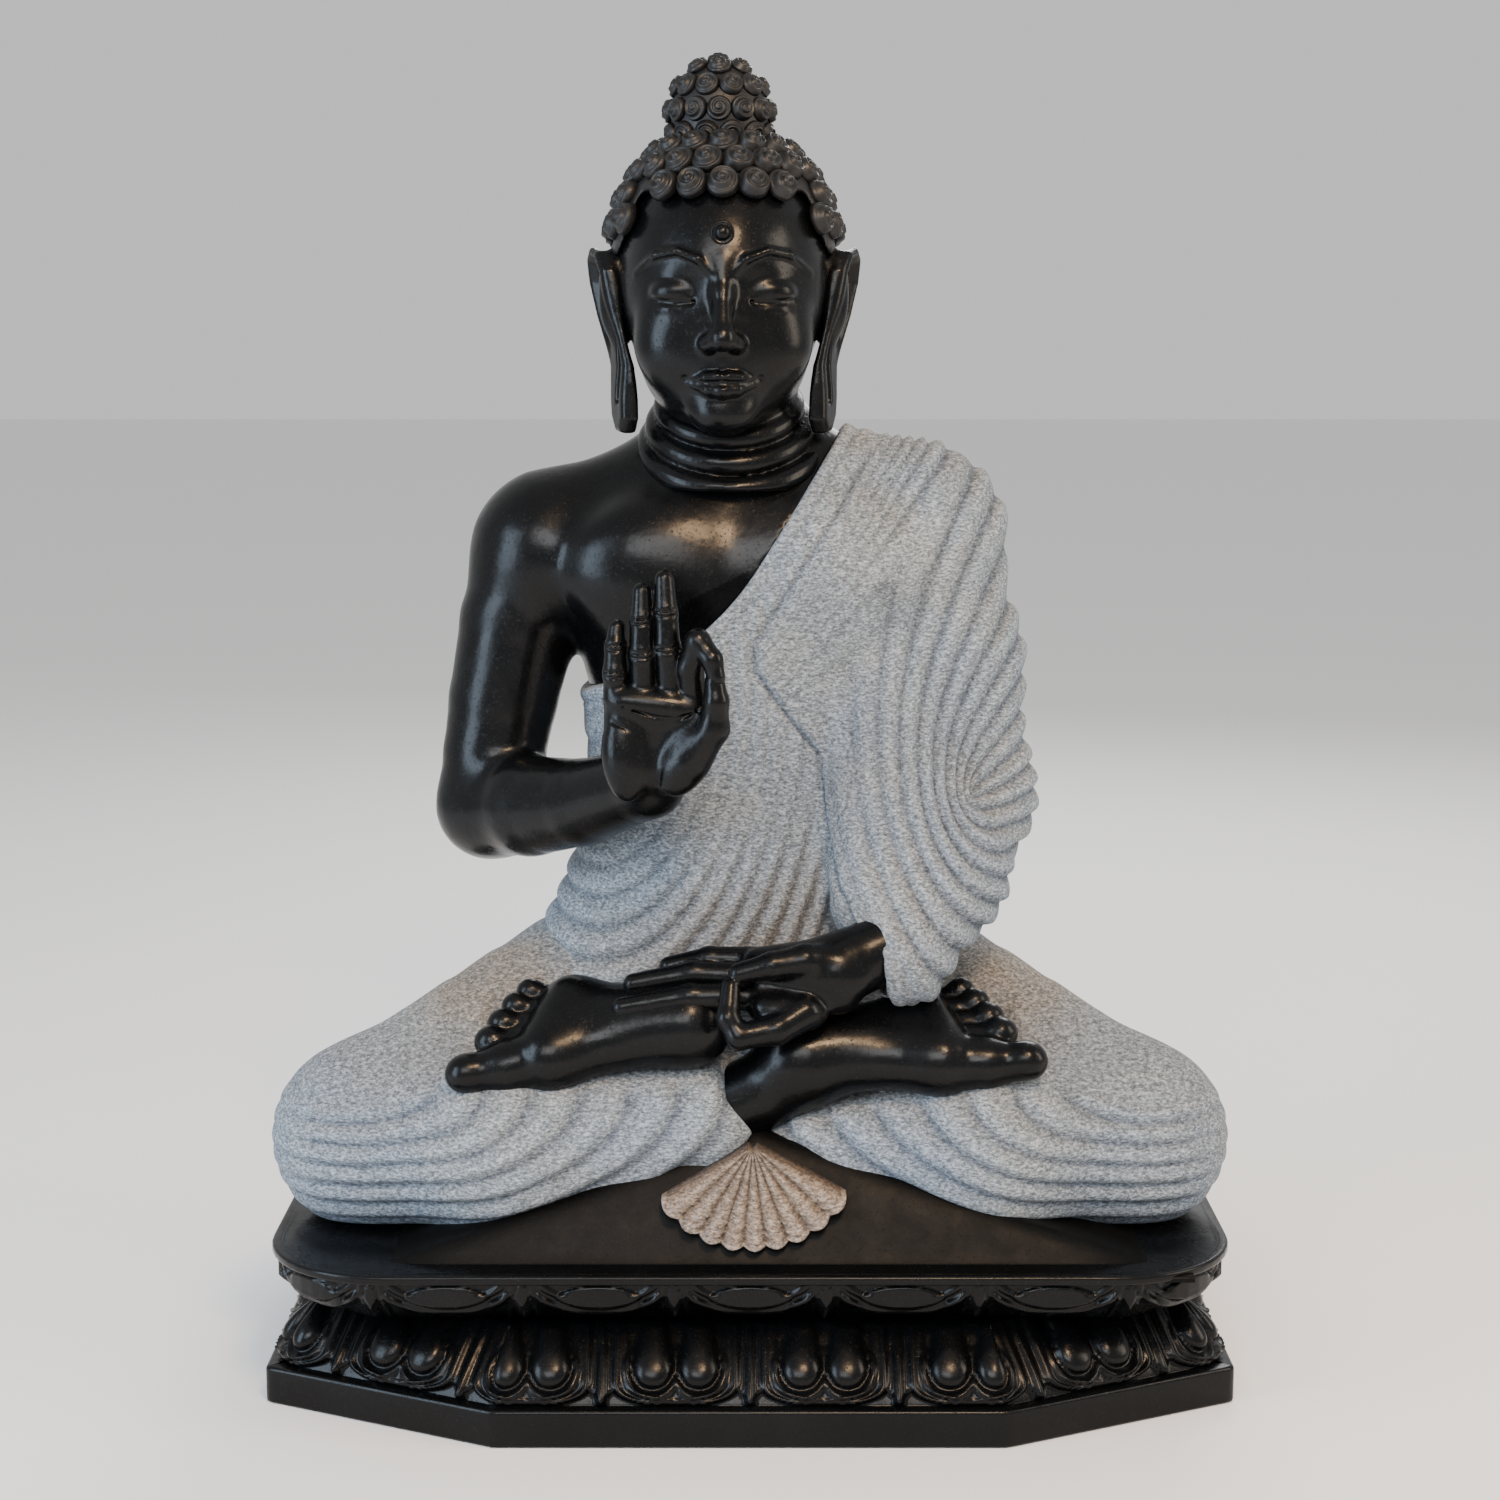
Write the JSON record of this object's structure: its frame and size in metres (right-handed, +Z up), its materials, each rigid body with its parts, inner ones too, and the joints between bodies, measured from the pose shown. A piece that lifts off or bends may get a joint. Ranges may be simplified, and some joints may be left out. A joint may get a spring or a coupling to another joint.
{
  "type": "seated buddha statue",
  "caption": "Seated meditating figure in polished black stone with a rough grey robe, one hand raised, on a lotus-petal pedestal.",
  "frame": {"origin": "middle of the plinth's underside, on the surface the statue stands on", "axes": "+Z up, the figure faces -Y, its left side is +X"},
  "size_m": [0.724, 0.5, 1],
  "materials": {
    "polished_stone": "polished near-black stone",
    "hair_stone": "honed near-black stone",
    "robe_stone": "point-tooled grey stone, left rough",
    "fan_stone": "point-tooled stone, stained brown",
    "pin_steel": "plain stainless pin"
  },
  "bodies": {
    "root": {"plinth_slab": "polished_stone", "lower_lotus_course": "polished_stone", "upper_lotus_course": "polished_stone", "seat_slab": "polished_stone", "bare_chest": "polished_stone", "neck": "polished_stone", "head": "polished_stone", "right_ear": "polished_stone", "left_ear": "polished_stone", "right_upper_arm": "polished_stone", "right_forearm": "polished_stone", "right_hand": "polished_stone", "left_hand": "polished_stone", "left_foot": "polished_stone", "right_foot": "polished_stone", "brow_boss": "polished_stone", "hair_cap": "hair_stone", "topknot": "hair_stone", "hair_curls": "hair_stone", "topknot_curls": "hair_stone", "right_leg": "robe_stone", "left_leg": "robe_stone", "trunk_robe": "robe_stone", "left_sleeve": "robe_stone", "front_fan": "fan_stone", "course_pins": "pin_steel", "figure_pins": "pin_steel", "trunk_pins": "pin_steel", "neck_pin": "pin_steel", "shoulder_pin": "pin_steel", "elbow_pin": "pin_steel", "raised_hand_pin": "pin_steel", "sleeve_pin": "pin_steel", "lap_hand_pin": "pin_steel", "foot_pins": "pin_steel", "topknot_pin": "pin_steel", "ear_pins": "pin_steel"}
  },
  "joints": []
}
